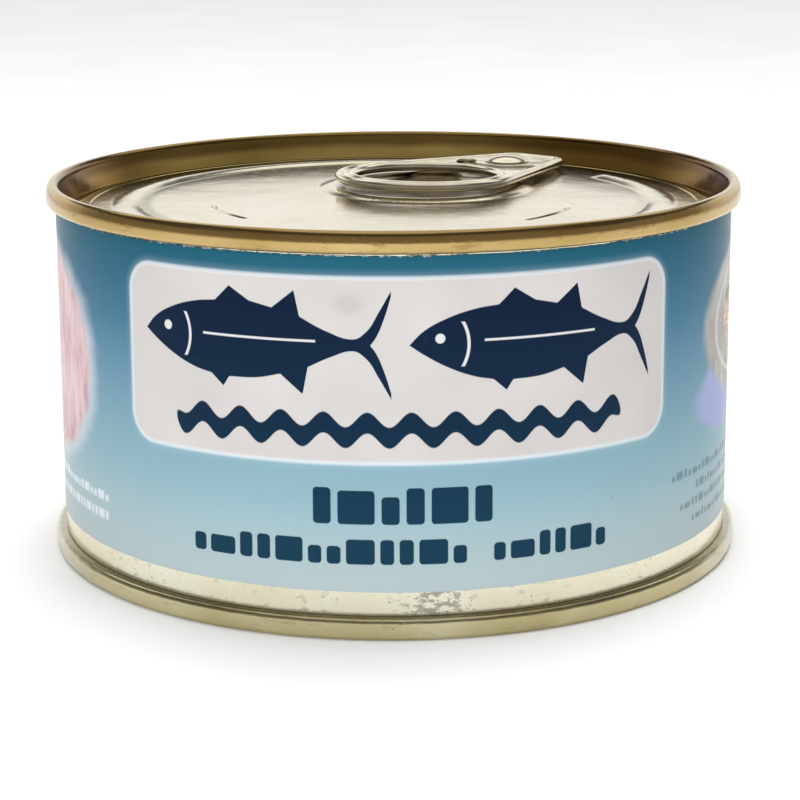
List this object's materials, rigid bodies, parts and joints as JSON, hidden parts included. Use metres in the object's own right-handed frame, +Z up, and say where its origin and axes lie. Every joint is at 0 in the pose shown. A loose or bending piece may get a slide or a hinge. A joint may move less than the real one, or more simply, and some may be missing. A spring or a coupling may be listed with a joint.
{
  "type": "tuna can",
  "caption": "Shut round fish can with rolled double seams, a recessed ring-pull lid and a glossy blue wrap label with a plain white panel.",
  "frame": {"origin": "centre of the ring of seam that the can stands on", "axes": "+Z up along the can's axis, -Y towards the front of the label"},
  "size_m": [0.0873, 0.0872, 0.0465],
  "materials": {
    "body_lacquer": "pale gold lacquer, satin",
    "end_lacquer": "gold lacquer, glossy",
    "lid_lacquer": "gold to cream lacquer, glossy",
    "tab_steel": "bright steel, slightly warm",
    "label_print": "glossy printed paper, teal fading to pale blue"
  },
  "bodies": {
    "root": {"can_body": "body_lacquer", "bottom_end": "end_lacquer", "lid": "lid_lacquer", "pull_tab": "tab_steel", "paper_label": "label_print"}
  },
  "joints": []
}
